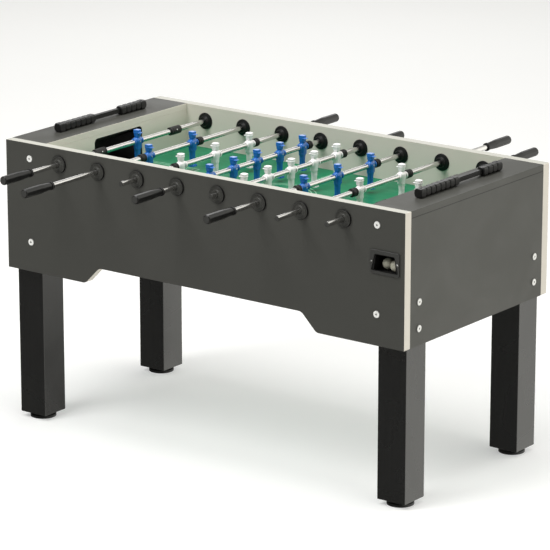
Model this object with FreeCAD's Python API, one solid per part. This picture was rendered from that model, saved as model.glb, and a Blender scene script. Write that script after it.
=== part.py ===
import FreeCAD, Part
import math
import os
from FreeCAD import Vector

# Foosball table: a cabinet on four legs, eight sliding and turning rods with their figures, a goal and a
# ball return at each end, and a bead counter on each end shelf.
# X runs along the table from the left goal to the right goal, Y from the front side to the back, Z up.
# The origin is on the floor under the middle of the table. All sizes are in millimetres.

# ---- driving dimensions ----
rod_pitch = 150            # between neighbouring rods, and half of it from the end rods to the goal walls
field_width = 680          # between the inner faces of the side panels
rim_z = 885                # top of the side panels and end shelves
field_z = 752              # top of the playfield
rod_z = 838                # axis of every rod

side_thick = 30
side_height = 400          # side panel at its deep ends
step_rise = 54             # the middle of the side panel's lower edge is this much higher
step_x = 430               # where the 45 degree step starts
step_radius = 24
field_thick = 12
groove_depth = 8           # the playfield's edges sit in grooves in the side panels
end_depth = 135            # from a goal wall's playing face to the end of the table
end_panel_thick = 12
shelf_thick = 20
goal_wall_thick = 12
goal_half_width = 115
goal_height = 103
goal_corner = 14
goal_lining = 2            # black lining round the goal opening
board_edge = 0.8           # small rounding on the edges of the boards
fitting_gap = 0.1          # around a fixed piece in its hole

batten = 30                # glued under the shelf at each corner
batten_drop = 40
batten_x = 641             # middle of the batten, and of the side panels' bolts

leg_side = 97
leg_bottom = 16.5
leg_edge = 2.0
foot_radius = 40
foot_disc = 9
stud_radius = 5
stud_top = 62
stud_gap = 0.06            # running fit of the stud in its insert
foot_nut_flats = 17
foot_nut_top = 14

bolt_radius = 4
bolt_head_radius = 11
bolt_head = 3.2
cap_dimple = (3, 1)        # radius and depth of the dimple in the middle of a cap
bolt_depth = 35            # length past the panel that it holds
side_bolt_z = (838, 578)
end_bolt_z = (614, 536)
end_bolt_y = 298

tray_floor_low = 703.5     # where the tray meets the outlet
tray_floor_high = 745      # at the other side of the table
tray_wall = 2.5
tray_back_z = 800          # top of the wall that stops a shot
tray_slack = 2             # between the tray's ends and the side panels

outlet_x = 668.5           # middle of the outlet
outlet_plate = (100, 70, 4)
outlet_plate_z = 731.5
outlet_corner = 6
outlet_inside = (79, 50.5)
outlet_mouth_low = (77, 707)     # width and height of the mouth's lower edge
outlet_mouth_high = (64, 752)
outlet_recess_low = (94, 705)    # the shallow recess around the mouth reaches under the screws
outlet_recess_high = (69, 755)
outlet_recess_depth = 2.6
outlet_screw_x = 44.5      # from the middle of the outlet
outlet_screw_head = (3.5, 2.0)
outlet_screw_radius = 1.75
screw_cross = (2, 0.5, 1.2)        # half length, half width and depth of the driver's cross
ball_radius = 17.5
ball_gap = 0.5
ball_depth = (17, 7)       # how far the left and the right ball lie behind the panel's face

tube_radius = 8
tube_wall = 2
slide_gap = 0.06           # tube in its sleeve
sleeve_radius = 11
spin_gap = 0.06            # sleeve in its housing
barrel_radius = 15
flange_radius = 26.5
flange_thick = 6
flange_groove = (20.6, 22.2, 0.9)  # inner and outer radius of the ring groove in its face, and its depth
hub_radius = 13.5
inner_hub = 14             # hub height off the panel's inner face
outer_hub = 8.5
lip_radius = 8.6
lip = 2
sleeve_end_gap = 0.3

stop_gap = 0.5             # left between bumper and hub at the end of the travel
man_width = 40
man_reach = 74.4           # from the rod's axis to the foot
man_head = 37              # from the rod's axis to the top of the head
bumper_radius = 13
bumper_length = {1: 48, 2: 22, 3: 18, 5: 18}
man_pitch = {1: 0, 2: 212, 3: 168, 5: 115}
travel = {1: 120, 2: 176, 3: 118, 5: 56}      # each way from the middle, by the number of men on the rod
plain_end_left = 6         # how far the plain end still reaches into the bearing at full travel
bumper_groove = (6, 9.5, 1.6)      # from and to, from the face next to the man, and its depth
ring_length = 8
ring_radius = 12.6
grip_length = 117
grip_radius = 13.5
grip_flat = 12.7           # from the axis to the grip's flats
grip_bore = 100
grip_cone = 45             # the grip grows to its full radius over this length
grip_cone_round = 90
plug_depth = 12
plug_cap = 1.5

FRONT, BACK = -1, 1
# men on the rod, side of its grip, place of the rod's middle along Y and the room that stays between its
# stop ring and the bearing at full travel, from the left goal to the right one
rods = [(1, FRONT, 0, 0.6), (2, FRONT, -23.5, 0.6), (3, BACK, 6, 0.6), (5, FRONT, 15, 21),
        (5, BACK, -13, 12), (3, FRONT, 14, 7), (2, BACK, 23.5, 0.6), (1, BACK, 0, 0.6)]

counter_length = 415
counter_middle_y = -2.5
counter_x = 667
counter_post = (26, 25, 27)
post_barrel = 16.5         # each post is turned to this radius
counter_bar = (10, 14)
counter_bar_z = 7.5        # from the shelf to the bar's underside
counter_rise = 2           # from the shelf to the beads' undersides
bar_grooves = (3, 9)       # undersides of the grooves in the bar's long faces, from its underside
bar_groove = (1, 2)        # depth and height of a groove
post_screw = (3.5, 6)      # radius and depth of the screw hole in a post
bar_gap = 0.3              # between the bar and a bead
bead_pitch = 24
bead_size = (26, 23.7, counter_post[2] - counter_rise)
bead_barrel = 15.2         # each bead is turned to this radius, which rounds its long edges
bead_round = 6             # at its ends
beads_at_front = {"left": 6, "right": 7}
beads_on_counter = 10

# ---- places worked out from them ----
half_field = len(rods) * rod_pitch / 2
half_length = half_field + end_depth
half_width = field_width / 2
side_y = half_width + side_thick
side_bottom = rim_z - side_height
shelf_bottom = rim_z - shelf_thick
end_inner = half_length - end_panel_thick
wall_back = half_field + goal_wall_thick
leg_top = tray_floor_low - tray_wall
leg_x = end_inner - leg_side / 2
leg_y = half_width - leg_side / 2
rod_x = [(index + 0.5) * rod_pitch - half_field for index in range(len(rods))]
hub_inner_y = half_width - inner_hub
hub_outer_y = side_y + outer_hub


# ---- shape helpers ----
def rounded_wire(corners, place):
    """Closed wire through corners (u, v, radius); place turns a flat point into a point in space."""
    arcs = []
    for index, (u, v, radius) in enumerate(corners):
        corner = Vector(u, v, 0)
        before = (Vector(*corners[index - 1][:2], 0) - corner).normalize()
        after = (Vector(*corners[(index + 1) % len(corners)][:2], 0) - corner).normalize()
        if radius == 0:
            arcs.append((corner, None, corner))
            continue
        half_angle = before.getAngle(after) / 2
        reach = radius / math.tan(half_angle)
        inward = (before + after).normalize() * (radius / math.sin(half_angle) - radius)
        arcs.append((corner + before * reach, corner + inward, corner + after * reach))
    edges = []
    for index, (start, middle, end) in enumerate(arcs):
        if middle is not None:
            edges.append(Part.Arc(place(start), place(middle), place(end)).toShape())
        following = arcs[(index + 1) % len(arcs)][0]
        if end.distanceToPoint(following) > 1e-6:
            edges.append(Part.makeLine(place(end), place(following)))
    return Part.Wire(edges)


def plate_xz(corners, y_low, y_high):
    """Plate with its outline in XZ between two places along Y."""
    wire = rounded_wire(corners, lambda point: Vector(point.x, y_low, point.y))
    return Part.Face(wire).extrude(Vector(0, y_high - y_low, 0))


def plate_yz(corners, x_low, x_high):
    """Plate with its outline in YZ between two places along X."""
    wire = rounded_wire(corners, lambda point: Vector(x_low, point.x, point.y))
    return Part.Face(wire).extrude(Vector(x_high - x_low, 0, 0))


def turned(corners):
    """Solid turned about the Y axis; the corners are (radius, place along Y, rounding)."""
    wire = rounded_wire(corners, lambda point: Vector(point.x, point.y, 0))
    return Part.Face(wire).revolve(Vector(0, 0, 0), Vector(0, 1, 0), 360)


def box(x_low, x_high, y_low, y_high, z_low, z_high):
    return Part.makeBox(x_high - x_low, y_high - y_low, z_high - z_low, Vector(x_low, y_low, z_low))


def rounded_box(radius, *sides):
    block = box(*sides)
    return block.makeFillet(radius, block.Edges)


def rod_along(axis, radius, start, length):
    return Part.makeCylinder(radius, length, start, axis)


def moved(shape, x=0, y=0, z=0):
    copy = shape.copy()
    copy.translate(Vector(x, y, z))
    return copy


def half_turn(shape):
    """The same piece at the other end of the table, turned 180 degrees about the vertical axis."""
    copy = shape.copy()
    copy.rotate(Vector(0, 0, 0), Vector(0, 0, 1), 180)
    return copy


def save(name, *solids):
    shape = solids[0] if len(solids) == 1 else Part.makeCompound(list(solids))
    shape.exportStep(f"parts/{name}.step")


# ---- cabinet ----
def side_panel():
    """Front side panel: deep ends, raised middle, holes for bearings, bolts and the ball outlet."""
    raised = side_bottom + step_rise
    outline = [(half_length, side_bottom, 2), (half_length, rim_z, 2),
               (-half_length, rim_z, 2), (-half_length, side_bottom, 2),
               (-step_x, side_bottom, step_radius), (step_rise - step_x, raised, step_radius),
               (step_x - step_rise, raised, step_radius), (step_x, side_bottom, step_radius)]
    panel = plate_xz(outline, -side_y, -half_width)
    on_faces = [edge for edge in panel.Edges if edge.BoundBox.YLength < 1e-6]
    panel = panel.makeFillet(board_edge, on_faces)
    inward = Vector(0, 1, 0)
    holes = [rod_along(inward, barrel_radius + fitting_gap, Vector(x, -side_y, rod_z), side_thick)
             for x in rod_x]
    holes += [rod_along(inward, bolt_radius + fitting_gap, Vector(x, -side_y, z), side_thick)
              for x in (-batten_x, batten_x) for z in side_bolt_z]
    holes.append(box(-wall_back, wall_back, -half_width - groove_depth, -half_width,
                     field_z - field_thick, field_z))
    holes.append(outlet_sleeve_block())
    holes += outlet_screw_bores()
    return panel.cut(holes)


def end_panel():
    """Right end panel between the side panels, under the shelf."""
    panel = rounded_box(board_edge, end_inner, half_length, -half_width, half_width,
                        side_bottom, shelf_bottom)
    outward = Vector(1, 0, 0)
    holes = [rod_along(outward, bolt_radius + fitting_gap, Vector(end_inner, y, z), end_panel_thick)
             for y in (-end_bolt_y, end_bolt_y) for z in end_bolt_z]
    return panel.cut(holes)


def end_shelf():
    """Right end shelf with a batten glued under each corner for the side panel's upper bolt."""
    shelf = rounded_box(board_edge, half_field, half_length, -half_width, half_width, shelf_bottom, rim_z)
    low_x = batten_x - batten / 2
    for side in (FRONT, BACK):
        y_low, y_high = sorted((side * half_width, side * (half_width - batten)))
        block = box(low_x, low_x + batten, y_low, y_high, shelf_bottom - batten_drop, shelf_bottom)
        bore_start = Vector(batten_x, y_low, side_bolt_z[0])
        bore = rod_along(Vector(0, 1, 0), bolt_radius + fitting_gap, bore_start, batten)
        shelf = shelf.fuse(block.cut(bore))
    return shelf


def playfield():
    reach = half_width + groove_depth - fitting_gap
    return box(-wall_back, wall_back, -reach, reach, field_z - field_thick, field_z)


def goal_wall():
    """Right goal wall: it stands on the playfield and holds the shelf's inner edge."""
    top = field_z + goal_height
    outline = [(-half_width, field_z, 0), (-goal_half_width, field_z, 0),
               (-goal_half_width, top, goal_corner), (goal_half_width, top, goal_corner),
               (goal_half_width, field_z, 0), (half_width, field_z, 0),
               (half_width, shelf_bottom, 0), (-half_width, shelf_bottom, 0)]
    return plate_yz(outline, half_field, wall_back)


def goal_lining_frame():
    """Right goal's moulded lining: it covers the cut edge of the opening and stands on the playfield."""
    def arch(half, top, corner):
        corners = [(-half, field_z, 0), (-half, top, corner), (half, top, corner), (half, field_z, 0)]
        return plate_yz(corners, half_field + fitting_gap, wall_back - fitting_gap)
    half, top = goal_half_width - fitting_gap, field_z + goal_height - fitting_gap
    inner = arch(half - goal_lining, top - goal_lining, goal_corner - goal_lining)
    return arch(half, top, goal_corner).cut(inner)


def return_tray():
    """Right return tray behind the goal: its floor falls towards the outlet in the front panel."""
    reach = half_width - tray_slack
    low, high = tray_floor_low, tray_floor_high
    floor = plate_yz([(-reach, low - tray_wall, 0), (reach, high - tray_wall, 0), (reach, high, 0),
                      (-reach, low, 0)], wall_back, end_inner)
    field_side = plate_yz([(-reach, low, 0), (reach, high, 0), (reach, field_z, 0), (-reach, field_z, 0)],
                          wall_back, wall_back + tray_wall)
    end_side = plate_yz([(-reach, low, 0), (reach, high, 0), (reach, tray_back_z, 0),
                         (-reach, tray_back_z, 0)], end_inner - tray_wall, end_inner)
    far_end = box(wall_back, end_inner, reach - tray_wall, reach, high, field_z)
    return floor.fuse([field_side, end_side, far_end]).removeSplitter()


def outlet_sleeve_block():
    """The room that the outlet's sleeve takes in the front panel."""
    width, height = outlet_inside
    half = width / 2 + tray_wall
    bottom = tray_floor_low - tray_wall
    return box(outlet_x - half, outlet_x + half, -side_y, -half_width + tray_slack,
               bottom, bottom + height + 2 * tray_wall)


def outlet_screw_bores():
    starts = [Vector(outlet_x + shift, -side_y, outlet_plate_z)
              for shift in (-outlet_screw_x, outlet_screw_x)]
    return [rod_along(Vector(0, 1, 0), outlet_screw_radius + fitting_gap, start, side_thick / 2)
            for start in starts]


def outlet_bowl():
    """Front ball outlet: a plate with a mouth that narrows upwards, on a sleeve through the panel."""
    width, height, thick = outlet_plate
    x_low, x_high = outlet_x - width / 2, outlet_x + width / 2
    z_low, z_high = outlet_plate_z - height / 2, outlet_plate_z + height / 2
    front = -side_y - thick
    plate = plate_xz([(x_low, z_low, outlet_corner), (x_high, z_low, outlet_corner),
                      (x_high, z_high, outlet_corner), (x_low, z_high, outlet_corner)], front, -side_y)
    front_edges = [edge for edge in plate.Edges if edge.BoundBox.YMax < front + 1e-6]
    plate = plate.makeFillet(board_edge * 2, front_edges)
    low_width, low_z = outlet_mouth_low
    high_width, high_z = outlet_mouth_high
    mouth = plate_xz([(outlet_x - low_width / 2, low_z, 3), (outlet_x + low_width / 2, low_z, 3),
                      (outlet_x + high_width / 2, high_z, 5), (outlet_x - high_width / 2, high_z, 5)],
                     front, -side_y)
    low_width, low_z = outlet_recess_low
    high_width, high_z = outlet_recess_high
    recess = plate_xz([(outlet_x - low_width / 2, low_z, 4), (outlet_x + low_width / 2, low_z, 4),
                       (outlet_x + high_width / 2, high_z, 5), (outlet_x - high_width / 2, high_z, 5)],
                      front, front + outlet_recess_depth)
    inside_width, inside_height = outlet_inside
    inside = box(outlet_x - inside_width / 2, outlet_x + inside_width / 2, -side_y,
                 -half_width + tray_slack, tray_floor_low, tray_floor_low + inside_height)
    bowl = plate.fuse(outlet_sleeve_block()).removeSplitter()
    bores = [moved(bore, y=-side_thick / 4) for bore in outlet_screw_bores()]
    return bowl.cut([mouth, recess, inside] + bores)


def cross_recess(x, front, z):
    """Room for a cross-head driver in a screw whose head starts at front."""
    half_length, half_width, depth = screw_cross
    return box(x - half_length, x + half_length, front, front + depth, z - half_width, z + half_width).fuse(
        box(x - half_width, x + half_width, front, front + depth, z - half_length, z + half_length))


def outlet_screws():
    """The two screws of the front outlet."""
    head_radius, head = outlet_screw_head
    face = -side_y - outlet_plate[2]
    screws = []
    for shift in (-outlet_screw_x, outlet_screw_x):
        shank_end = face + side_thick / 2
        profile = [(0, face - head, 0), (head_radius, face - head, 1.2), (head_radius, face, 0),
                   (outlet_screw_radius, face, 0), (outlet_screw_radius, shank_end, 0), (0, shank_end, 0)]
        screw = moved(turned(profile), outlet_x + shift, 0, outlet_plate_z)
        screws.append(screw.cut(cross_recess(outlet_x + shift, face - head, outlet_plate_z)))
    return screws


def leg(x_side, y_side):
    """Leg with the insert for the foot's stud and holes for one side bolt and two end bolts."""
    half = leg_side / 2
    x, y = x_side * leg_x, y_side * leg_y
    post = rounded_box(leg_edge, x - half, x + half, y - half, y + half, leg_bottom, leg_top)
    holes = [rod_along(Vector(0, 0, 1), stud_radius + stud_gap, Vector(x, y, leg_bottom), stud_top)]
    holes.append(rod_along(Vector(0, -y_side, 0), bolt_radius + fitting_gap,
                           Vector(x_side * batten_x, y_side * half_width, side_bolt_z[1]), bolt_depth))
    holes += [rod_along(Vector(-x_side, 0, 0), bolt_radius + fitting_gap,
                        Vector(x_side * end_inner, y_side * end_bolt_y, z), bolt_depth)
              for z in end_bolt_z]
    return post.cut(holes)


def foot(x_side, y_side):
    """Levelling foot: disc, hexagon for a spanner and threaded stud in one piece."""
    x, y = x_side * leg_x, y_side * leg_y
    disc = Part.makeCylinder(foot_radius, foot_disc, Vector(x, y, 0))
    disc = disc.makeFillet(3, [edge for edge in disc.Edges if edge.BoundBox.ZMin > foot_disc - 1e-6])
    corner = foot_nut_flats / 2 / math.cos(math.pi / 6)
    hexagon = Part.makePolygon([Vector(x + corner * math.cos(turn * math.pi / 3),
                                       y + corner * math.sin(turn * math.pi / 3), foot_disc)
                                for turn in range(7)])
    nut = Part.Face(Part.Wire(hexagon)).extrude(Vector(0, 0, foot_nut_top - foot_disc))
    stud = Part.makeCylinder(stud_radius, stud_top - foot_disc, Vector(x, y, foot_disc))
    return disc.fuse([nut, stud])


def bolt(panel_thick, start, axis):
    """Panel bolt with its domed cap; it starts at the panel's outer face and runs along the axis."""
    length = panel_thick + bolt_depth
    dimple_radius, dimple_depth = cap_dimple
    profile = [(0, dimple_depth - bolt_head, 0), (dimple_radius, dimple_depth - bolt_head, 0),
               (dimple_radius, -bolt_head, 0), (bolt_head_radius, -bolt_head, 2.4), (bolt_head_radius, 0, 0),
               (bolt_radius, 0, 0), (bolt_radius, length - 1, 0), (0, length - 1, 0)]
    shape = turned(profile)
    shape.Placement = FreeCAD.Placement(start, FreeCAD.Rotation(Vector(0, 1, 0), axis))
    return shape


def panel_bolts():
    bolts = []
    for x_side in (-1, 1):
        for y_side in (-1, 1):
            for z in side_bolt_z:
                held = side_thick if z < rod_z else side_thick - bolt_depth + batten
                start = Vector(x_side * batten_x, y_side * side_y, z)
                bolts.append(bolt(held, start, Vector(0, -y_side, 0)))
            for z in end_bolt_z:
                start = Vector(x_side * half_length, y_side * end_bolt_y, z)
                bolts.append(bolt(end_panel_thick, start, Vector(-x_side, 0, 0)))
    return bolts


# ---- bearings, drawn for the back side, where +Y points out of the table ----
def outer_housing():
    """Barrel through the panel with the outer flange and hub."""
    bore = sleeve_radius + spin_gap
    face = side_y + flange_thick
    groove_inner, groove_outer, groove_deep = flange_groove
    return turned([(bore, half_width, 0), (barrel_radius, half_width, 0), (barrel_radius, side_y, 0),
                   (flange_radius, side_y, 0), (flange_radius, face, 1.2), (groove_outer, face, 0),
                   (groove_outer, face - groove_deep, 0), (groove_inner, face - groove_deep, 0),
                   (groove_inner, face, 0), (hub_radius + 2, face, 0.8), (hub_radius, hub_outer_y, 1),
                   (lip_radius, hub_outer_y, 0), (lip_radius, hub_outer_y - lip, 0),
                   (bore, hub_outer_y - lip, 0)])


def inner_ring():
    """Ring screwed to the barrel from inside, with the flange and hub on the playing side."""
    bore = sleeve_radius + spin_gap
    face = half_width
    return turned([(bore, face, 0), (bore, hub_inner_y + lip, 0), (lip_radius, hub_inner_y + lip, 0),
                   (lip_radius, hub_inner_y, 0), (hub_radius, hub_inner_y, 1.5),
                   (hub_radius + 3, face - 6, 3), (flange_radius, face - 3, 1.5), (flange_radius, face, 0)])


def sleeve():
    """Inner sleeve: it turns in the housing, and the rod slides in it."""
    start, end = hub_inner_y + lip + sleeve_end_gap, hub_outer_y - lip - sleeve_end_gap
    bore = tube_radius + slide_gap
    return turned([(bore, start, 0), (sleeve_radius, start, 1), (sleeve_radius, end, 1), (bore, end, 0)])


def at_both_ends(shape, x):
    """A bearing piece at the back and front end of the rod at x."""
    return [moved(shape, x, 0, rod_z), moved(half_turn(shape), x, 0, rod_z)]


# ---- rods, drawn with the grip towards -Y and the men facing +X, about the rod's own middle ----
def ring_start(men, room):
    """From the rod's middle to the stop ring."""
    return hub_outer_y + travel[men] + room


def plain_end(men):
    """From the rod's middle to the end of the tube away from the grip."""
    return hub_inner_y + travel[men] + plain_end_left


def rod_tube(men, room):
    start = Vector(0, -ring_start(men, room) - ring_length - grip_bore, 0)
    length = plain_end(men) - start.y
    across = Vector(0, 1, 0)
    outside = rod_along(across, tube_radius, start, length)
    return outside.cut(rod_along(across, tube_radius - tube_wall, start, length))


def rod_rubbers(men, room):
    """Two bumpers inside the table, the stop ring before the grip and the plug in the plain end."""
    bore = tube_radius + fitting_gap
    face = hub_inner_y - travel[men] - stop_gap
    back_face = face - bumper_length[men]
    groove_start, groove_end, groove_deep = bumper_groove
    groove_radius = bumper_radius - groove_deep
    bumper = turned([(bore, back_face, 0), (bumper_radius, back_face, 2),
                     (bumper_radius, back_face + groove_start, 0.8),
                     (groove_radius, back_face + groove_start + 1, 0.5),
                     (groove_radius, back_face + groove_end - 1, 0.5),
                     (bumper_radius, back_face + groove_end, 0.8),
                     (bumper_radius, face, 2), (bore, face, 0)])
    high = -ring_start(men, room)
    low = high - ring_length
    ring = turned([(bore, high, 0), (ring_radius, high, 1.5), (ring_radius, low, 1.5), (bore, low, 0)])
    tube_end = plain_end(men)
    cap_end = tube_end + plug_cap
    stem = tube_radius - tube_wall - fitting_gap
    plug = turned([(0, tube_end - plug_depth, 0), (stem, tube_end - plug_depth, 0), (stem, tube_end, 0),
                   (tube_radius, tube_end, 0), (tube_radius, cap_end, 2), (0, cap_end, 0)])
    return [bumper, half_turn(bumper), ring, plug]


def rod_grip(men, room):
    """Grip with eight flats that fade out towards the rod, and a blind bore for the tube."""
    start = ring_start(men, room) + ring_length
    end = start + grip_length
    inner_end = start + fitting_gap
    bore = tube_radius + fitting_gap
    bore_end = start + grip_bore + 1
    round_grip = turned([(bore, -inner_end, 0), (grip_radius - 3, -inner_end, 1),
                         (grip_radius, -start - grip_cone, grip_cone_round), (grip_radius, -end, 5),
                         (0, -end, 0), (0, -bore_end, 0), (bore, -bore_end, 0)])
    corner = grip_flat / math.cos(math.pi / 8)
    angles = [(turn + 0.5) * math.pi / 4 for turn in range(9)]
    octagon = Part.makePolygon([Vector(corner * math.cos(angle), -end - 1, corner * math.sin(angle))
                                for angle in angles])
    prism = Part.Face(Part.Wire(octagon)).extrude(Vector(0, grip_length + 2, 0))
    return round_grip.common(prism)


def man():
    """Figure on the rod: head, shoulders, arms at its sides, legs together and a wedge foot."""
    half = man_width / 2
    seen_from_front = [(10.5, -man_reach, 1), (10.5, -64, 1), (8, -54, 8), (8.6, -30, 8),
                       (half - 6, -22, 2), (half, -4, 6), (half, 11, 5), (6, 12, 1), (9.5, 15, 2),
                       (10, man_head, 2)]
    mirrored = [(-u, v, radius) for u, v, radius in reversed(seen_from_front)]
    front = plate_yz(seen_from_front + mirrored, -man_reach, man_reach)
    seen_from_side = [(13, -man_reach, 0), (12, -66, 1), (7, -56, 6), (7.5, -30, 8), (10.5, -16, 4),
                      (11.5, 8, 4), (6, 12, 1), (9.5, 15, 2), (10, man_head, 3)]
    mirrored = [(-u, v, radius) for u, v, radius in reversed(seen_from_side)]
    side = plate_xz(seen_from_side + mirrored, -man_width, man_width)
    across = Vector(0, 1, 0)
    swing = rod_along(across, man_reach, Vector(0, -man_width, 0), 2 * man_width)
    bore = rod_along(across, tube_radius + fitting_gap, Vector(0, -man_width, 0), 2 * man_width)
    return front.common(side).common(swing).cut(bore)


def place_rod(shape, index):
    """Move a rod piece to its rod, turned round where the grip is at the back."""
    grip_side, middle_y = rods[index][1:3]
    placed = half_turn(shape) if grip_side == BACK else shape
    return moved(placed, rod_x[index], middle_y, rod_z)


# ---- counters ----
def counter_rail():
    """Two posts screwed to the shelf and the bar between them."""
    post_x, post_y, post_z = counter_post
    bar_x, bar_z = counter_bar
    low_y = counter_middle_y - counter_length / 2
    high_y = counter_middle_y + counter_length / 2
    bar_low = rim_z + counter_bar_z
    bar = box(counter_x - bar_x / 2, counter_x + bar_x / 2, low_y + 1, high_y - 1, bar_low, bar_low + bar_z)
    deep, tall = bar_groove
    grooves = [box(x - deep, x + deep, low_y, high_y, bar_low + z, bar_low + z + tall)
               for x in (counter_x - bar_x / 2, counter_x + bar_x / 2) for z in bar_grooves]
    rail = bar.cut(grooves)
    for y in (low_y, high_y - post_y):
        post = box(counter_x - post_x / 2, counter_x + post_x / 2, y, y + post_y, rim_z, rim_z + post_z)
        barrel = turned([(0, 0, 0), (post_barrel, 0, bead_round), (post_barrel, post_y, bead_round),
                         (0, post_y, 0)])
        post = post.common(moved(barrel, counter_x, y, rim_z + (post_z + counter_rise) / 2))
        radius, depth = post_screw
        hole_bottom = Vector(counter_x, y + post_y / 2, rim_z + post_z - depth)
        screw_hole = Part.makeCylinder(radius, depth, hole_bottom)
        rail = rail.fuse(post.cut(screw_hole))
    return rail.removeSplitter()


def bead(y):
    """Barrel-shaped block with a slot for the bar; y is its front end."""
    size_x, size_y, size_z = bead_size
    bar_x, bar_z = counter_bar
    low = rim_z + counter_rise
    barrel = turned([(0, 0, 0), (bead_barrel, 0, bead_round), (bead_barrel, size_y, bead_round),
                     (0, size_y, 0)])
    block = box(counter_x - size_x / 2, counter_x + size_x / 2, y, y + size_y, low, low + size_z)
    block = block.common(moved(barrel, counter_x, y, low + size_z / 2))
    slot_low = rim_z + counter_bar_z - bar_gap
    slot = box(counter_x - bar_x / 2 - bar_gap, counter_x + bar_x / 2 + bar_gap, y, y + size_y,
               slot_low, slot_low + bar_z + 2 * bar_gap)
    return block.cut(slot)


def bead_groups(side):
    """The beads parked at the front and at the back of one counter."""
    inside_low = counter_middle_y - counter_length / 2 + counter_post[1]
    inside_high = counter_middle_y + counter_length / 2 - counter_post[1]
    slack = (bead_pitch - bead_size[1]) / 2
    front_count = beads_at_front[side]
    front = [bead(inside_low + slack + index * bead_pitch) for index in range(front_count)]
    back = [bead(inside_high + slack - (index + 1) * bead_pitch)
            for index in range(beads_on_counter - front_count)]
    if side == "left":
        front = [moved(shape, -2 * counter_x) for shape in front]
        back = [moved(shape, -2 * counter_x) for shape in back]
    return front, back


def balls():
    """Two balls side by side in the front outlet, the left one a little deeper."""
    deep_left, deep_right = ball_depth
    right = outlet_x + outlet_inside[0] / 2 - ball_radius - ball_gap
    left = right - math.sqrt((2 * ball_radius + ball_gap) ** 2 - (deep_left - deep_right) ** 2)
    z = tray_floor_low + ball_radius + ball_gap
    return [Part.makeSphere(ball_radius, Vector(x, ball_radius + deep - side_y, z))
            for x, deep in ((left, deep_left), (right, deep_right))]


# ---- the pieces ----
os.makedirs("parts", exist_ok=True)

save("side_panels", side_panel(), half_turn(side_panel()))
save("end_panels", end_panel(), half_turn(end_panel()))
save("end_shelves", end_shelf(), half_turn(end_shelf()))
save("playfield", playfield())
save("goal_walls", goal_wall(), half_turn(goal_wall()))
save("ball_return_trays", *[shape for piece in (return_tray(), goal_lining_frame())
                            for shape in (piece, half_turn(piece))])
outlets = [outlet_bowl()] + outlet_screws()
save("ball_outlets", *outlets, *[half_turn(shape) for shape in outlets])
save("legs", *[leg(x_side, y_side) for x_side in (-1, 1) for y_side in (-1, 1)])
for x_side, x_name in ((-1, "left"), (1, "right")):
    for y_side, y_name in ((FRONT, "front"), (BACK, "back")):
        save(f"foot_{y_name}_{x_name}", foot(x_side, y_side))
save("panel_bolts", *panel_bolts())

save("bearing_housings", *[solid for x in rod_x for shape in (outer_housing(), inner_ring())
                           for solid in at_both_ends(shape, x)])
for index, (men, grip_side, middle_y, room) in enumerate(rods):
    number = index + 1
    save(f"rod_{number}_sleeves", *at_both_ends(sleeve(), rod_x[index]))
    save(f"rod_{number}_tube", place_rod(rod_tube(men, room), index))
    save(f"rod_{number}_rubbers", *[place_rod(shape, index) for shape in rod_rubbers(men, room)])
    save(f"rod_{number}_grip", place_rod(rod_grip(men, room), index))
    first = -man_pitch[men] * (men - 1) / 2
    places = [first + count * man_pitch[men] for count in range(men)]
    save(f"rod_{number}_men", *[place_rod(moved(man(), y=place), index) for place in places])

save("counter_rails", counter_rail(), moved(counter_rail(), -2 * counter_x))
for side in ("left", "right"):
    front, back = bead_groups(side)
    save(f"{side}_counter_front_beads", *front)
    save(f"{side}_counter_back_beads", *back)
save("balls", *balls())
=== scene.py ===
import math

import bmesh
import bpy
from mathutils import Matrix, Vector


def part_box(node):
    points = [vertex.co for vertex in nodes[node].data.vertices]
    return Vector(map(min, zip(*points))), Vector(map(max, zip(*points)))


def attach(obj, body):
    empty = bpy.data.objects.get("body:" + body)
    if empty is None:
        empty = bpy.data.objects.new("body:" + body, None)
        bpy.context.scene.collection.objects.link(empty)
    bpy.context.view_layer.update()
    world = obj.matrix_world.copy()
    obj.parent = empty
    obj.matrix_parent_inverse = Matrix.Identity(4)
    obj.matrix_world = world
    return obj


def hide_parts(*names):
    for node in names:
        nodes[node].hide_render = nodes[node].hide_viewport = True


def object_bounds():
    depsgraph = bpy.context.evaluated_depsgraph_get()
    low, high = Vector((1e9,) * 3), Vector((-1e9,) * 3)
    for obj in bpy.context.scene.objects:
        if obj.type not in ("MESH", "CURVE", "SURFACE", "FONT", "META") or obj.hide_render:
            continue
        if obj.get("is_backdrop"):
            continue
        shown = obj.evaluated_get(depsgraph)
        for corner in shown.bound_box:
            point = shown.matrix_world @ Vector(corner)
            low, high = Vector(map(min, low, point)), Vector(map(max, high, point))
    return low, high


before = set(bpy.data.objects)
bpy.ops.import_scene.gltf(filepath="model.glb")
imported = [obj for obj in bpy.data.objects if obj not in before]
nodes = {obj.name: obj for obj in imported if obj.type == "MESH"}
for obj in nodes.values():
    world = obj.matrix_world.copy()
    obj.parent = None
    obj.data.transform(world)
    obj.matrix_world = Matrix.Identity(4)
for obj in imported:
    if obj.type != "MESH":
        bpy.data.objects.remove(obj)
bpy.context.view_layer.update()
scene = bpy.context.scene
mm = 0.001

# ---- Side panels ----
# Two 30 mm boards, dark laminate outside, pale laminate inside, with pale bands glued on every edge. The
# top face of the band on the rim is painted darker, a painted shade. They are bolted to the legs and to the
# shelves' battens.
dark_laminate = (0.059, 0.059, 0.052, 1)
pale_laminate = (0.69, 0.65, 0.575, 1)
edge_line = (0.22, 0.22, 0.19, 1)
rim_top_painted_shade = (0.50, 0.495, 0.445, 1)
laminate_thick = 0.6 * mm
glue_line = 0.3 * mm
rim_skin = 0.1 * mm          # how far below the rim a surface still counts as the rim


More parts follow.
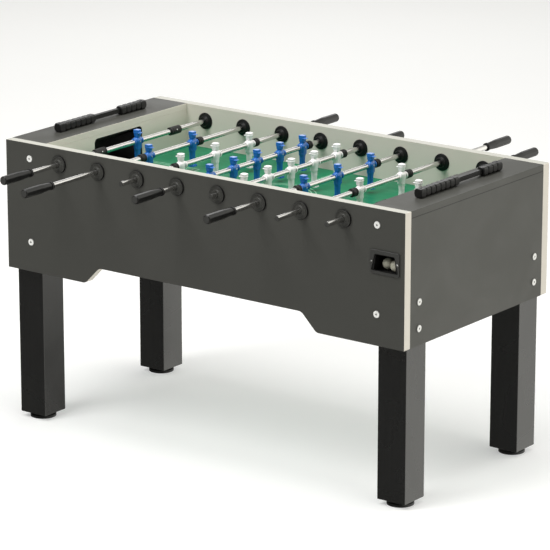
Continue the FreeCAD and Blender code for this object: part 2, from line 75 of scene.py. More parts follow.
class Finish:
    """One material, with short calls for the nodes that its finish is made of."""

    def __init__(self, name, **sockets):
        self.material = bpy.data.materials.new(name)
        self.material.use_nodes = True
        self.tree = self.material.node_tree
        self.shader = self.tree.nodes["Principled BSDF"]
        for socket, value in sockets.items():
            self.shader.inputs[socket.replace("_", " ")].default_value = value
        self.place = self.node("ShaderNodeTexCoord").outputs["Object"]

    def feed(self, socket, value):
        if isinstance(value, bpy.types.NodeSocket):
            self.tree.links.new(value, socket)
        else:
            socket.default_value = value

    def node(self, kind, inputs=None, **settings):
        made = self.tree.nodes.new(kind)
        for name, value in settings.items():
            setattr(made, name, value)
        for socket, value in (inputs or {}).items():
            self.feed(made.inputs[socket], value)
        return made

    def maths(self, operation, *values):
        made = self.node("ShaderNodeMath", dict(enumerate(values)), operation=operation)
        return made.outputs[0]

    def noise(self, scale, detail=2.0, place=None):
        inputs = {"Vector": place or self.place, "Scale": scale, "Detail": detail}
        return self.node("ShaderNodeTexNoise", inputs).outputs["Fac"]

    def stretched(self, x, y, z):
        """The surface's own place, scaled by different amounts along X, Y and Z."""
        made = self.node("ShaderNodeVectorMath", {0: self.place, 1: (x, y, z)}, operation="MULTIPLY")
        return made.outputs[0]

    def mix(self, share, first, second):
        made = self.node("ShaderNodeMix", data_type="RGBA")
        colours = [socket for socket in made.inputs if socket.type == "RGBA"]
        self.feed(made.inputs[0], share)
        self.feed(colours[0], first)
        self.feed(colours[1], second)
        return next(socket for socket in made.outputs if socket.type == "RGBA")

    def ramp(self, value, start, end, low=0.0, high=1.0):
        inputs = {"Value": value, "From Min": start, "From Max": end, "To Min": low, "To Max": high}
        return self.node("ShaderNodeMapRange", inputs).outputs["Result"]

    def axes(self, vector=None):
        made = self.node("ShaderNodeSeparateXYZ", {0: vector or self.place})
        return made.outputs

    def from_middle(self, axis):
        """Distance from the table's middle along one axis."""
        return self.maths("ABSOLUTE", self.axes()[axis])

    def group(self, tree, **inputs):
        made = self.node("ShaderNodeGroup", node_tree=tree)
        for socket, value in inputs.items():
            self.feed(made.inputs[socket], value)
        return made.outputs

    def cover(self, colour, roughness):
        self.feed(self.shader.inputs["Base Color"], colour)
        self.feed(self.shader.inputs["Roughness"], roughness)

    def bump(self, height, strength, distance):
        made = self.node("ShaderNodeBump", {"Strength": strength, "Distance": distance, "Height": height})
        self.feed(self.shader.inputs["Normal"], made.outputs["Normal"])

    def made_of(self, colour, roughness, grain, mottle, smudge):
        """The colour, roughness and height of the made surface in this finish."""
        return self.group(surface, Place=self.place, Colour=colour, Roughness=roughness, Grain=grain,
                          Mottle=mottle, Smudge=smudge)

    def lay(self, made, bump_strength, bump_depth):
        """Cover the piece with a made surface and let its grain stand up."""
        self.cover(made["Colour"], made["Roughness"])
        self.bump(made["Height"], bump_strength, bump_depth)
        return self

    def put_on(self, *pieces):
        for piece in pieces:
            piece = nodes.get(piece, piece)
            if not piece.material_slots:
                piece.data.materials.append(self.material)
            for material_slot in piece.material_slots:
                material_slot.material = self.material


class Effect(Finish):
    """A node group that several finishes use, made with the same short calls."""

    def __init__(self, name, inputs, outputs):
        self.tree = bpy.data.node_groups.new(name, "ShaderNodeTree")
        for in_or_out, sockets in (("INPUT", inputs), ("OUTPUT", outputs)):
            for socket_name, kind in sockets.items():
                self.tree.interface.new_socket(socket_name, in_out=in_or_out,
                                               socket_type="NodeSocket" + kind)
        self.inlet = self.node("NodeGroupInput").outputs
        self.outlet = self.node("NodeGroupOutput").inputs
        self.place = self.inlet["Place"]

    def give(self, **outputs):
        for socket, value in outputs.items():
            self.feed(self.outlet[socket], value)
        return self.tree


def made_surface():
    """Uneven colour, handling smudges and fine surface grain that every board and moulding has."""
    effect = Effect("made_surface",
                    {"Place": "Vector", "Colour": "Color", "Roughness": "Float", "Grain": "Float",
                     "Mottle": "Float", "Smudge": "Float"},
                    {"Colour": "Color", "Roughness": "Float", "Height": "Float"})
    cloud = effect.noise(6, 4)
    grain = effect.noise(effect.inlet["Grain"], 3)
    uneven = effect.maths("ADD", effect.ramp(cloud, 0, 1, -1, 1), effect.ramp(grain, 0, 1, -0.8, 0.8))
    level = effect.maths("MULTIPLY_ADD", uneven, effect.inlet["Mottle"], 1.0)
    colour = effect.node("ShaderNodeVectorMath", {0: effect.inlet["Colour"], "Scale": level},
                         operation="SCALE").outputs[0]
    warp = effect.node("ShaderNodeTexNoise", {"Vector": effect.place, "Scale": 4.5, "Detail": 5.0,
                                              "Distortion": 1.2}).outputs["Fac"]
    smudge = effect.ramp(warp, 0.35, 0.65, -0.5, 0.5)
    roughness = effect.maths("MULTIPLY_ADD", smudge, effect.inlet["Smudge"], effect.inlet["Roughness"])
    return effect.give(Colour=colour, Roughness=roughness, Height=grain)


surface = made_surface()


def side_panel_finish():
    """Dark outer face, pale inner face and edges, with the thin glue line of the edge band."""
    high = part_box("side_panels")[1]
    finish = Finish("side_panel_laminate", Specular_IOR_Level=0.4)
    across = finish.from_middle("Y")
    outer = finish.maths("GREATER_THAN", across, high.y - laminate_thick)
    glue = finish.maths("GREATER_THAN", across, high.y - laminate_thick - glue_line)
    rim = finish.maths("GREATER_THAN", finish.axes()["Z"], high.z - rim_skin)
    # the top face of the rim band takes a painted shade
    edges = finish.mix(glue, finish.mix(rim, pale_laminate, rim_top_painted_shade), edge_line)
    made = finish.made_of(finish.mix(outer, edges, dark_laminate), 0.5, grain=900, mottle=0.035, smudge=0.08)
    return finish.lay(made, 0.12, 0.15 * mm)


side_panel_finish().put_on("side_panels")

# ---- End panels and end shelves ----
# Thin boards of the same dark laminate between the side panels. The shelf lies on the end panel and on
# the goal wall, level with the rim, and the band on its inner edge is pale like the goal wall. The joint
# under
# the shelf is painted dark: painted shade of its groove, with some dust.
edge_band = 0.4 * mm
joint_half = 1.5 * mm
joint_dust_and_shade = (0.006, 0.006, 0.006, 1)
field_under_wall = 12 * mm   # the playfield runs on this far past the face of the goal wall
goal_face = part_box("playfield")[1].x - field_under_wall


def end_board_finish():
    finish = Finish("end_board_laminate", Specular_IOR_Level=0.4)
    along = finish.from_middle("X")
    band = finish.maths("LESS_THAN", along, goal_face + edge_band)
    off_joint = finish.maths("SUBTRACT", finish.axes()["Z"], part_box("end_panels")[1].z)
    near_joint = finish.ramp(finish.maths("ABSOLUTE", off_joint), 0.4 * joint_half, joint_half, 0.85, 0)
    at_end = finish.maths("GREATER_THAN", along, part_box("goal_walls")[1].x)
    # a dark band along the joint under the shelf: painted shade of the groove, with some dust
    dust_and_shade_mask = finish.maths("MULTIPLY", at_end, near_joint)
    laminate = finish.mix(band, dark_laminate, pale_laminate)
    made = finish.made_of(finish.mix(dust_and_shade_mask, laminate, joint_dust_and_shade), 0.5, grain=900, mottle=0.035, smudge=0.09)
    return finish.lay(made, 0.12, 0.15 * mm)


end_board_finish().put_on("end_panels", "end_shelves")

# ---- Goal walls ----
# Pale laminate boards that stand on the playfield between the side panels, under the edge of the shelf.
# The goal opening is cut out and banded, and its corners are round.


def goal_wall_finish():
    finish = Finish("goal_wall_laminate", Specular_IOR_Level=0.4)
    made = finish.made_of(pale_laminate, 0.5, grain=700, mottle=0.03, smudge=0.08)
    return finish.lay(made, 0.1, 0.15 * mm)


goal_wall_finish().put_on("goal_walls")

# ---- Playfield ----
# A green laminated board in grooves of the side panels, printed with pale double lines: a box at each
# goal, a centre circle and a halfway line. Play has left fine scuffs along the table.
field_green = (0.003, 0.190, 0.085, 1)
field_line = (0.42, 0.72, 0.52, 1)
field_scuff = (0.16, 0.46, 0.26, 1)
line_width = 3.5 * mm
line_softness = 0.3 * mm     # half the width of the blur at the edge of a printed line
line_gap = 13 * mm           # between the middles of the two lines
box_half_width = 103 * mm
box_depth = 236 * mm         # from the goal wall
circle_radius = 127 * mm


def on_line(finish, distance, place):
    """1 where distance is within half a line of place."""
    off = finish.maths("ABSOLUTE", finish.maths("SUBTRACT", distance, place))
    return finish.ramp(off, line_width / 2 - line_softness, line_width / 2 + line_softness, 1, 0)


def printed_lines(finish):
    """1 on the halfway line, and on both lines of the circle and of the boxes at the goals."""
    x, y = finish.axes()["X"], finish.axes()["Y"]
    along, across = finish.maths("ABSOLUTE", x), finish.maths("ABSOLUTE", y)
    radius = finish.maths("SQRT", finish.maths("ADD", finish.maths("MULTIPLY", x, x),
                                               finish.maths("MULTIPLY", y, y)))
    lines = on_line(finish, along, 0)
    for inset in (0, line_gap):
        lines = finish.maths("MAXIMUM", lines, on_line(finish, radius, circle_radius - inset))
        width, front = box_half_width - inset, goal_face - box_depth + inset
        # the outline of the box is where the larger of the two distances from its sides is zero
        outside = finish.maths("MAXIMUM", finish.maths("SUBTRACT", across, width),
                               finish.maths("SUBTRACT", front, along))
        lines = finish.maths("MAXIMUM", lines, on_line(finish, outside, 0))
    return lines


def playfield_finish():
    finish = Finish("printed_playfield", Specular_IOR_Level=0.2)
    scuffs = finish.ramp(finish.noise(1, 6, finish.stretched(14, 90, 1)), 0.52, 0.70, 0, 0.16)
    wear = finish.ramp(finish.noise(60, 4), 0.3, 0.6, 0.55, 0.95)
    colour = finish.mix(finish.maths("MULTIPLY", printed_lines(finish), wear), field_green, field_line)
    colour = finish.mix(scuffs, colour, field_scuff)
    return finish.lay(finish.made_of(colour, 0.38, grain=1200, mottle=0.05, smudge=0.12), 0.08, 0.1 * mm)


playfield_finish().put_on("playfield")

# ---- Ball return trays ----
# Black moulded channels behind the goals, screwed under the end shelves. Their floors slope to the outlets,
# and their front edge lines the opening of the goal.
moulded_black = (0.008, 0.008, 0.0077, 1)


def black_moulding(name, colour=moulded_black, roughness=0.45, grain=1500):
    finish = Finish(name, Specular_IOR_Level=0.4)
    made = finish.made_of(colour, roughness, grain, mottle=0.1, smudge=0.12)
    return finish.lay(made, 0.25, 0.12 * mm)


black_moulding("tray_plastic", roughness=0.5).put_on("ball_return_trays")

# ---- Ball outlets ----
# A moulded plate on each side panel with a sleeve through it, held by two chromed screws. The plate has
# the grey of the panel, and the recess around the mouth and the sleeve are black.
outlet_black = (0.008, 0.008, 0.008, 1)
outlet_grey = (0.045, 0.045, 0.042, 1)
screw_chrome = (0.8, 0.8, 0.78, 1)
screw_head = 2 * mm
recess_wall = 2.3 * mm       # a little less than the recess is deep, so that its floor is black
hair = 0.05 * mm             # clearance that keeps a boundary of two finishes off a face


def outlet_finish():
    finish = Finish("outlet_plastic", Specular_IOR_Level=0.45)
    across = finish.from_middle("Y")
    plate_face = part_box("ball_outlets")[1].y - screw_head
    screw = finish.maths("GREATER_THAN", across, plate_face + hair)
    plate = finish.maths("GREATER_THAN", across, plate_face - recess_wall)
    colour = finish.mix(screw, finish.mix(plate, outlet_black, outlet_grey), screw_chrome)
    made = finish.made_of(colour, 0.42, grain=1300, mottle=0.08, smudge=0.1)
    finish.lay(made, 0.2, 0.12 * mm)
    polish = finish.ramp(screw, 0, 1, 1, 0.35)
    finish.cover(made["Colour"], finish.maths("MULTIPLY", made["Roughness"], polish))
    finish.feed(finish.shader.inputs["Metallic"], screw)
    return finish


outlet_finish().put_on("ball_outlets")

# ---- Legs ----
# Square posts in black satin laminate, wrapped round with the seam at the inner corner. Each is bolted to
# the side panel and to the end panel from outside.
leg_dark = (0.006, 0.006, 0.0057, 1)
leg_light = (0.010, 0.010, 0.0095, 1)


def leg_finish():
    finish = Finish("leg_laminate", Specular_IOR_Level=0.75)
    streaks = finish.noise(1, 4, finish.stretched(260, 260, 5))
    colour = finish.mix(finish.ramp(streaks, 0.3, 0.7), leg_dark, leg_light)
    made = finish.made_of(colour, 0.26, grain=800, mottle=0.08, smudge=0.1)
    finish.cover(made["Colour"], made["Roughness"])
    finish.bump(streaks, 0.12, 0.1 * mm)
    return finish


leg_finish().put_on("legs")

# ---- Levelling feet ----
# Black rubber-faced discs with a hexagon to turn them by, on a dark zinc-plated stud that screws into the
# leg. The rubber has picked up dust from the floor.
foot_black = (0.010, 0.010, 0.010, 1)
foot_dust = (0.05, 0.048, 0.045, 1)
dark_zinc = (0.03, 0.03, 0.03, 1)
rubber_height = 9.2 * mm


def foot_finish():
    finish = Finish("foot_rubber", Specular_IOR_Level=0.35)
    metal = finish.maths("GREATER_THAN", finish.axes()["Z"], rubber_height)
    dust = finish.ramp(finish.noise(90, 5), 0.5, 0.75, 0, 0.25)
    colour = finish.mix(metal, finish.mix(dust, foot_black, foot_dust), dark_zinc)
    return finish.lay(finish.made_of(colour, 0.55, grain=1500, mottle=0.12, smudge=0.15), 0.3, 0.15 * mm)


foot_finish().put_on(*[f"foot_{y_name}_{x_name}" for x_name in ("left", "right")
                       for y_name in ("front", "back")])

# ---- Panel bolts ----
# Steel bolts through the panels under plain white snap caps. The dimple of each cap and the cap's edge below
# its outer face are painted dark, a painted shade.
cap_white = (0.80, 0.80, 0.77, 1)
cap_painted_shade = (0.20, 0.20, 0.19, 1)
cap_face = 0.5 * mm          # depth of a cap's white outer face; below it the cap takes a painted shade


def cap_finish():
    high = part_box("panel_bolts")[1]
    finish = Finish("white_cap", Specular_IOR_Level=0.5)
    cap_outer_face = finish.maths("MAXIMUM",
                         finish.maths("GREATER_THAN", finish.from_middle("X"), high.x - cap_face),
                         finish.maths("GREATER_THAN", finish.from_middle("Y"), high.y - cap_face))
    # the dimple and the edge of the cap are painted in shade
    colour = finish.mix(cap_outer_face, cap_painted_shade, cap_white)
    return finish.lay(finish.made_of(colour, 0.32, grain=1400, mottle=0.03, smudge=0.12), 0.1, 0.1 * mm)


cap_finish().put_on("panel_bolts")

# ---- Bearings ----
# A housing with a grooved flange outside, screwed to a ring inside, holds a smooth sleeve that turns with
# the rod. It is black, and the face of the flange outside is painted grey like the panel: a painted sheen on
# the black.
bearing_black = (0.004, 0.004, 0.004, 1)
flange_painted_sheen = (0.048, 0.048, 0.043, 1)
sleeve_black = (0.015, 0.015, 0.015, 1)
flange_face_radius = 25.4 * mm
rods = range(1, 9)           # counted from the left
tube_low, tube_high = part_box("rod_1_tube")
rod_height = (tube_low.z + tube_high.z) / 2
rod_pitch = (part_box("rod_8_tube")[1].x - tube_high.x) / 7


def on_every_rod(piece):
    return [f"rod_{number}_{piece}" for number in rods]


def rod_distance():
    """Distance from the nearest rod's axis: the rods are one pitch apart, half a pitch off the middle."""
    effect = Effect("rod_distance", {"Place": "Vector"}, {"Distance": "Float"})
    along = effect.maths("SUBTRACT", effect.maths("PINGPONG", effect.axes()["X"], rod_pitch), rod_pitch / 2)
    up = effect.maths("SUBTRACT", effect.axes()["Z"], rod_height)
    square = effect.maths("MULTIPLY_ADD", along, along, effect.maths("MULTIPLY", up, up))
    return effect.give(Distance=effect.maths("SQRT", square))


from_rod = rod_distance()


def bearing_finish():
    finish = Finish("bearing_plastic", Specular_IOR_Level=0.3)
    distance = finish.group(from_rod, Place=finish.place)["Distance"]
    panel_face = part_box("side_panels")[1].y
    outside = finish.maths("GREATER_THAN", finish.from_middle("Y"), panel_face + 0.5 * mm)
    face = finish.maths("MULTIPLY", outside, finish.maths("LESS_THAN", distance, flange_face_radius))
    # the outer face of the flange is painted lighter: a painted sheen
    colour = finish.mix(face, bearing_black, flange_painted_sheen)
    return finish.lay(finish.made_of(colour, 0.45, grain=1400, mottle=0.1, smudge=0.12), 0.15, 0.1 * mm)


bearing_finish().put_on("bearing_housings")
black_moulding("sleeve_plastic", sleeve_black, 0.3).put_on(*on_every_rod("sleeves"))

# ---- Rods ----
# Chromed steel tubes that slide and turn in their bearings, cut square at the plain end. They carry fine
# wear lines along them where they slide.
chrome_bright = (0.76, 0.75, 0.74, 1)
chrome_dull = (0.62, 0.61, 0.60, 1)


def chrome_finish():
    finish = Finish("chromed_tube", Metallic=1.0)
    lines = finish.noise(1, 5, finish.stretched(900, 12, 900))
    colour = finish.mix(finish.noise(25, 3), chrome_bright, chrome_dull)
    finish.cover(colour, finish.ramp(lines, 0.3, 0.75, 0.12, 0.28))
    finish.bump(lines, 0.05, 0.05 * mm)
    return finish


chrome_finish().put_on(*on_every_rod("tube"))

# ---- Bumpers, stop rings and plugs ----
# The bumpers and the stop ring are moulded black rubber, pressed on the tube. A grey plastic plug closes
# the tube's plain end, flush with its outside.
bumper_black = (0.007, 0.0067, 0.0064, 1)
plug_grey = (0.045, 0.045, 0.041, 1)
tube_radius = 8 * mm


def rubber_finish():
    finish = Finish("bumper_rubber", Specular_IOR_Level=0.4)
    distance = finish.group(from_rod, Place=finish.place)["Distance"]
    plug = finish.maths("LESS_THAN", distance, tube_radius + hair)
    colour = finish.mix(plug, bumper_black, plug_grey)
    return finish.lay(finish.made_of(colour, 0.55, grain=900, mottle=0.1, smudge=0.12), 0.25, 0.12 * mm)


rubber_finish().put_on(*on_every_rod("rubbers"))

# ---- Grips ----
# Hard black moulded grips with eight flats that fade out towards the rod, pushed on its end. Their flat
# ends, which face along the rod, are painted grey: painted light.
grip_black = (0.006, 0.006, 0.0057, 1)
grip_end_painted_light = (0.045, 0.045, 0.042, 1)


def grip_finish():
    finish = Finish("grip_plastic", Specular_IOR_Level=0.4)
    facing = finish.node("ShaderNodeNewGeometry").outputs["Normal"]
    # faces that look along the rod are painted lighter: painted light
    end = finish.ramp(finish.maths("ABSOLUTE", finish.axes(facing)["Y"]), 0.85, 0.95)
    colour = finish.mix(end, grip_black, grip_end_painted_light)
    return finish.lay(finish.made_of(colour, 0.34, grain=700, mottle=0.1, smudge=0.12), 0.25, 0.12 * mm)


grip_finish().put_on(*on_every_rod("grip"))

# ---- Figures ----
# Each man is one glossy moulding, slid on the rod and fixed with a screw through the chest. All are alike:
# flat-topped cap with a peak, shoulders round the rod, arms at the sides, legs together on a wedge foot.
blue_plastic = (0.010, 0.14, 0.50, 1)
blue_scuffed = (0.03, 0.14, 0.42, 1)
white_plastic = (0.95, 0.92, 0.92, 1)
white_scuffed = (0.6, 0.6, 0.57, 1)
men_on_rod = (1, 2, 3, 5, 5, 3, 2, 1)
man_half_width = 20 * mm
man_reach = 74.4 * mm        # from the rod's axis to the sole
scuffed_foot = 14 * mm
around = 24                  # points in one section of a figure

# section by section: height, half width, half depth, forward shift, squareness, all about the rod's axis
man_body = [(-74.4, 10.5, 12.6, 0, 6), (-72.6, 10.8, 12.9, 0, 6), (-70.5, 10.4, 12.2, 0, 6),
            (-68.8, 10.4, 11.9, 0, 6), (-67, 10, 10.9, 0, 5), (-65.4, 9.9, 10.5, 0, 5), (-62, 9, 9, 0, 4),
            (-55, 8, 7.6, 0, 3.4), (-46, 8.2, 7.4, 0, 3.2), (-38, 9, 8, -0.3, 3), (-30, 9, 7.8, 0.2, 3),
            (-25, 10, 8.4, 0, 3), (-24.4, 11.4, 9.4, 0, 3), (-20, 11.2, 9.6, 0, 3), (-15, 10.6, 9.8, 0, 2.8),
            (-10, 11.6, 10.6, 0, 2.6), (-3, 14, 11.8, 0.2, 2.6), (3, 16.2, 12.2, 0.3, 2.6),
            (8, 17, 11.2, 0, 2.6), (11, 15, 9, 0, 2.5), (13, 10, 7.4, 0, 2.3), (14.5, 6.2, 6.2, 0, 2)]
man_head = [(12.5, 6.2, 6.2, 0, 2), (13.5, 7.8, 7.8, 0.4, 2.6), (16, 8.8, 9, 0.6, 3.2),
            (21, 9.4, 9.6, 0.5, 3.6), (26, 9.4, 9.5, 0.4, 3.6), (26.6, 10.6, 10.8, 0.3, 3.6),
            (29.2, 10.6, 10.8, 0.3, 3.6), (30, 9.5, 9.7, 0.1, 4), (34.5, 10.2, 10.4, 0, 4),
            (36.4, 10, 10.2, 0, 4), (37, 9.2, 9.4, 0, 4)]
man_arm = [(11.5, 1.6, 3.6, 0, 2), (10, 3.2, 5.6, 0, 2), (4, 3.9, 6.4, 0, 2), (-4, 3.6, 5.8, 0.4, 2),
           (-11, 3.0, 4.6, 1.2, 2), (-17, 2.7, 3.8, 2.2, 2), (-21, 2.9, 3.8, 3.2, 2.4),
           (-24, 1.7, 2.4, 3.4, 2)]
arm_out = (15.6, 16.0, 16.0, 15.2, 14.0, 12.8, 12.2, 12.0)     # from the man's middle, section by section
cap_peak = [(29.2, 8.4, 3.2, 11.0, 3), (28.2, 9.2, 5.4, 11.4, 3), (27.0, 9.0, 5.2, 11.4, 3),
            (26.4, 8.2, 3.4, 10.8, 3)]
rod_collar = [(9.0, 14.5), (10.8, 15.5), (10.9, 18.6), (10.2, 19.7), (8.3, 20.0)]    # radius, place along Y

chest_screw_place = Vector((12, 0, 1)) * mm
screw_profile = [(1.0, 0), (1.0, 0.45), (0.85, 0.8), (0.6, 0.95), (0.42, 1.0)]    # shares of radius, height
turned_sides = 32            # points round a turned shape


def signed_power(value, power):
    return math.copysign(abs(value) ** power, value)


def join_rings(mesh, rings):
    """Faces between each ring of points and the next."""
    for lower, upper in zip(rings, rings[1:]):
        for step in range(len(lower)):
            following = (step + 1) % len(lower)
            mesh.faces.new((lower[step], lower[following], upper[following], upper[step]))


def loft(mesh, sections, outs=None, side=0):
    """Skin over level super-ellipses; outs moves each one sideways."""
    rings = []
    for index, (height, half_width, half_depth, forward, squareness) in enumerate(sections):
        ring = []
        for step in range(around):
            angle = 2 * math.pi * step / around
            x = forward + half_depth * signed_power(math.cos(angle), 2 / squareness)
            y = half_width * signed_power(math.sin(angle), 2 / squareness)
            y += side * outs[index] if outs else 0
            ring.append(mesh.verts.new(Vector((x, y, height)) * mm))
        rings.append(ring)
    join_rings(mesh, rings)
    for ring, flip in ((rings[0], -1), (rings[-1], 1)):
        mesh.faces.new(ring[::flip])


def circle_points(radius):
    """Points round a circle, as two coordinates each."""
    angles = [2 * math.pi * step / turned_sides for step in range(turned_sides)]
    return [(radius * math.cos(angle), radius * math.sin(angle)) for angle in angles]


def man_mesh():
    """One figure about the rod's axis, facing +X."""
    mesh = bmesh.new()
    loft(mesh, man_body)
    loft(mesh, man_head)
    loft(mesh, cap_peak)
    for side in (-1, 1):
        loft(mesh, man_arm, arm_out, side)
        join_rings(mesh, [[mesh.verts.new(Vector((x, side * y, z)) * mm) for x, z in circle_points(radius)]
                          for radius, y in rod_collar])
    for vertex in mesh.verts:
        swing = math.hypot(vertex.co.x, vertex.co.z)
        if swing > man_reach:
            vertex.co.x *= man_reach / swing
            vertex.co.z *= man_reach / swing
    bmesh.ops.recalc_face_normals(mesh, faces=mesh.faces)
    return mesh


def screw_mesh(head_radius, head_height, slot_width):
    """Pan-head screw with a cross recess, standing on the YZ plane with its head towards +X."""
    mesh = bmesh.new()
    rings = [[mesh.verts.new((rise * head_height, y, z)) for y, z in circle_points(share * head_radius)]
             for share, rise in screw_profile]
    for vertex in rings[-1]:
        # the innermost ring dips into a cross wherever it is near one of the two slots
        if min(abs(vertex.co.y), abs(vertex.co.z)) < slot_width / 2:
            vertex.co.x -= 0.5 * head_height
    join_rings(mesh, rings)
    middle = mesh.verts.new((0.4 * head_height, 0, 0))
    for step in range(turned_sides):
        mesh.faces.new((rings[-1][step], rings[-1][(step + 1) % turned_sides], middle))
    mesh.faces.new(rings[0][::-1])
    bmesh.ops.recalc_face_normals(mesh, faces=mesh.faces)
    return mesh


def add_copies(template, placements):
    """A new mesh holding the template once for each placement."""
    joined = bmesh.new()
    for placement in placements:
        copy = template.copy()
        copy.transform(placement)
        data = bpy.data.meshes.new("part")
        copy.to_mesh(data)
        joined.from_mesh(data)
        bpy.data.meshes.remove(data)
        copy.free()
    return joined


def new_piece(name, mesh, body, smooth=True):
    """A piece from a bmesh that rides on a body and takes its finish from a slot."""
    data = bpy.data.meshes.new(name)
    mesh.to_mesh(data)
    mesh.free()
    data.polygons.foreach_set("use_smooth", [smooth] * len(data.polygons))
    piece = bpy.data.objects.new(name, data)
    scene.collection.objects.link(piece)
    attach(piece, body)
    return piece


def rod_axis(number):
    """The middle of a rod's axis, over the middle of the table."""
    return Vector(((number - 4.5) * rod_pitch, 0, rod_height))


def man_finish(name, colour, scuff_colour):
    """Glossy moulding, rubbed dull and scuffed at the foot, where it meets the ball."""
    finish = Finish(name, Specular_IOR_Level=0.5, Coat_Weight=0.5, Coat_Roughness=0.1)
    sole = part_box("rod_1_men")[0].z
    foot = finish.ramp(finish.axes()["Z"], sole, sole + scuffed_foot, 1, 0)
    scuff = finish.maths("MULTIPLY", foot, finish.ramp(finish.noise(500, 5), 0.45, 0.7, 0, 0.6))
    made = finish.made_of(finish.mix(scuff, colour, scuff_colour), 0.24, grain=700, mottle=0.04, smudge=0.1)
    finish.lay(made, 0.06, 0.1 * mm)
    finish.cover(made["Colour"], finish.maths("ADD", made["Roughness"], finish.ramp(scuff, 0, 1, 0, 0.4)))
    return finish


def steel_finish():
    finish = Finish("screw_steel", Metallic=1.0)
    finish.cover(finish.mix(finish.noise(800, 3), (0.75, 0.74, 0.71, 1), (0.5, 0.5, 0.48, 1)),
                 finish.ramp(finish.noise(1500, 4), 0.3, 0.7, 0.18, 0.4))
    finish.bump(finish.noise(2500, 2), 0.1, 0.05 * mm)
    return finish


blue_men = man_finish("blue_man_plastic", blue_plastic, blue_scuffed)
white_men = man_finish("white_man_plastic", white_plastic, white_scuffed)
screw_steel = steel_finish()
figure = man_mesh()
chest_screw = screw_mesh(head_radius=2.4 * mm, head_height=1.0 * mm, slot_width=0.9 * mm)
for number, men in zip(rods, men_on_rod):
    low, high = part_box(f"rod_{number}_men")
    first, last = low.y + man_half_width, high.y - man_half_width
    step = (last - first) / (men - 1) if men > 1 else 0
    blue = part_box(f"rod_{number}_grip")[1].y < 0
    turn = Matrix.Rotation(0 if blue else math.pi, 4, "Z")
    places = [Matrix.Translation(rod_axis(number) + Vector((0, first + man * step, 0))) @ turn
              for man in range(men)]
    figures = new_piece(f"rod_{number}_figures", add_copies(figure, places), f"rod_{number}")
    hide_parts(f"rod_{number}_men")
    rounding = figures.modifiers.new("smooth_moulding", "SUBSURF")
    rounding.levels = rounding.render_levels = 1
    (blue_men if blue else white_men).put_on(figures)
    chests = [place @ Matrix.Translation(chest_screw_place) for place in places]
    screws = new_piece(f"rod_{number}_man_screws", add_copies(chest_screw, chests), f"rod_{number}",
                       smooth=False)
    screw_steel.put_on(screws)

# ---- Collar screws ----
# The keepers' long bumpers are clamped on the rod by a small bright screw in the middle of each, a little
# above its right side.
keepers = (1, 8)
bumper_radius = 13 * mm
screw_sunk = 0.1 * mm
collar_middle = 181.5 * mm   # from the middle of the rod, at both ends
collar_tilt = Matrix.Rotation(math.radians(-18), 4, "Y")
collar_screw = screw_mesh(head_radius=2.3 * mm, head_height=1.2 * mm, slot_width=0.8 * mm)
for number in keepers:
    places = [Matrix.Translation(rod_axis(number) + Vector((0, side * collar_middle, 0))) @ collar_tilt
              @ Matrix.Translation((bumper_radius - screw_sunk, 0, 0)) for side in (-1, 1)]
    screws = new_piece(f"rod_{number}_collar_screws", add_copies(collar_screw, places), f"rod_{number}",
                       smooth=False)
    screw_steel.put_on(screws)

# ---- Counters ----
# A grooved bar on two moulded posts screwed to each end shelf. Ten slotted beads are snapped on each bar
# and slide along it.
counter_black = (0.009, 0.009, 0.0087, 1)
bead_groups = [f"{side}_counter_{end}_beads" for side in ("left", "right") for end in ("front", "back")]
black_moulding("counter_plastic", counter_black, 0.36, 1000).put_on("counter_rails", *bead_groups)

# ---- Balls ----
# Solid balls of cream plastic that lie loose in the front outlet, with a fine pitted skin. Their cream is
# painted darker, a painted shade of the outlet. Play has scuffed them grey.
# the cream is painted darker: painted shade of the outlet
ball_cream_in_painted_shade = (0.42, 0.41, 0.33, 1)
ball_scuffed = (0.26, 0.25, 0.20, 1)


def ball_finish():
    finish = Finish("ball_plastic", Specular_IOR_Level=0.4)
    scuffs = finish.ramp(finish.noise(140, 6), 0.52, 0.72, 0, 0.5)
    colour = finish.mix(scuffs, ball_cream_in_painted_shade, ball_scuffed)
    made = finish.made_of(colour, 0.5, grain=900, mottle=0.05, smudge=0.1)
    finish.cover(made["Colour"], made["Roughness"])
    finish.bump(finish.noise(260, 5), 0.25, 0.15 * mm)
    return finish


ball_finish().put_on("balls")

# ---- Studio ----
# A pale seamless floor under an even surround that is brighter to the right and behind. A large soft light
# stands high in front, another hangs over the table and a weak one stands behind. The long lens is about
# ten metres away, a little above the table.
scene.view_settings.view_transform = "Standard"
camera_azimuth = 36.955
camera_elevation = 15.831
camera_distance = 9.924
camera_target = Vector((0.1438, -0.185, 0.566))
light_target = Vector((0, 0, 0.6))
bright_azimuth = 130
white_light = (1, 1, 1, 1)
warm_light = (1, 0.99, 0.93, 1)
floor_reach = 40
paper_light = (0.69, 0.69, 0.68, 1)
paper_dark = (0.67, 0.67, 0.66, 1)
felt_light = (0.012, 0.012, 0.012, 1)
felt_dark = (0.006, 0.006, 0.006, 1)


def direction(azimuth, elevation):
    azimuth, elevation = math.radians(azimuth), math.radians(elevation)
    flat = math.cos(elevation)
    return Vector((math.sin(azimuth) * flat, -math.cos(azimuth) * flat, math.sin(elevation)))


def aim(thing, target, azimuth, elevation, distance):
    way = direction(azimuth, elevation)
    scene.collection.objects.link(thing)
    thing.location = target + way * distance
    thing.rotation_euler = way.to_track_quat("Z", "Y").to_euler()


lens = bpy.data.cameras.new("camera")
lens.lens = 220.9
lens.sensor_width = 36
lens.clip_end = 100
camera = bpy.data.objects.new("camera", lens)
aim(camera, camera_target, camera_azimuth, camera_elevation, camera_distance)
scene.camera = camera


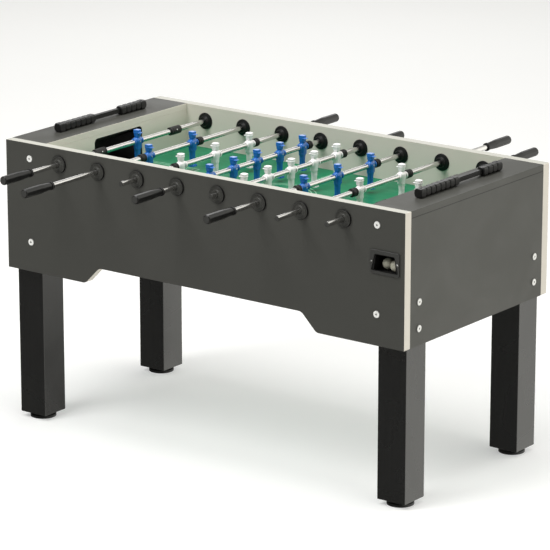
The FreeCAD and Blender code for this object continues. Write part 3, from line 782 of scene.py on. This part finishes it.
def soft_light(name, azimuth, elevation, distance, power):
    lamp = bpy.data.lights.new(name, "AREA")
    lamp.shape = "DISK"
    lamp.size = 3.0
    lamp.energy = power
    aim(bpy.data.objects.new(name, lamp), light_target, azimuth, elevation, distance)


soft_light("key_light", azimuth=-20, elevation=52, distance=6.0, power=200)
soft_light("top_light", azimuth=60, elevation=84, distance=5.0, power=160)
soft_light("back_light", azimuth=-143, elevation=22, distance=7.0, power=36)


class Surround(Finish):
    """The light from all round, made with the same short calls as a finish."""

    def __init__(self, name):
        self.world = bpy.data.worlds.new(name)
        self.world.use_nodes = True
        self.tree = self.world.node_tree
        self.shader = self.tree.nodes["Background"]
        self.place = self.node("ShaderNodeTexCoord").outputs["Generated"]


surround = Surround("studio")
bright_side = direction(bright_azimuth, 0)
towards = surround.node("ShaderNodeVectorMath", {0: surround.place, 1: bright_side},
                        operation="DOT_PRODUCT").outputs["Value"]
glow = surround.ramp(towards, 0.1, 1.0, 0.16, 1.6)
seen = surround.node("ShaderNodeLightPath").outputs["Is Camera Ray"]
surround.feed(surround.shader.inputs["Color"], surround.mix(seen, warm_light, white_light))
surround.feed(surround.shader.inputs["Strength"], surround.maths("MAXIMUM", seen, glow))
scene.world = surround.world


def flat_sheet(name, corners):
    """A flat sheet that belongs to the studio."""
    data = bpy.data.meshes.new(name)
    data.from_pydata(corners, [], [(0, 1, 2, 3)])
    sheet = bpy.data.objects.new(name, data)
    scene.collection.objects.link(sheet)
    sheet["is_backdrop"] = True
    return sheet


floor = flat_sheet("studio_floor", [(x * floor_reach, y * floor_reach, 0)
                                    for x, y in ((-1, -1), (1, -1), (1, 1), (-1, 1))])
floor.visible_glossy = False
paper = Finish("floor_paper", Roughness=0.9, Specular_IOR_Level=0.1, Emission_Color=white_light,
               Emission_Strength=0.4)
paper.feed(paper.shader.inputs["Base Color"], paper.mix(paper.noise(3, 3), paper_light, paper_dark))
paper.put_on(floor)

# a grey card behind the table, seen only in reflections, keeps the left front leg from shining
card = flat_sheet("grey_card", [(-0.3, 0.6, -1.2), (0.5, 0.6, -1.2), (0.5, 0.6, 0.45), (-0.3, 0.6, 0.45)])
card.visible_camera = card.visible_diffuse = card.visible_shadow = False
felt = Finish("card_felt", Roughness=0.9, Specular_IOR_Level=0.1, Emission_Color=warm_light)
felt.feed(felt.shader.inputs["Base Color"], felt.mix(felt.noise(300, 3), felt_dark, felt_light))
felt.feed(felt.shader.inputs["Emission Strength"], felt.ramp(felt.axes()["Z"], -0.2, 0.15, 0.4, 0.9))
felt.put_on(card)

low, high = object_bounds()
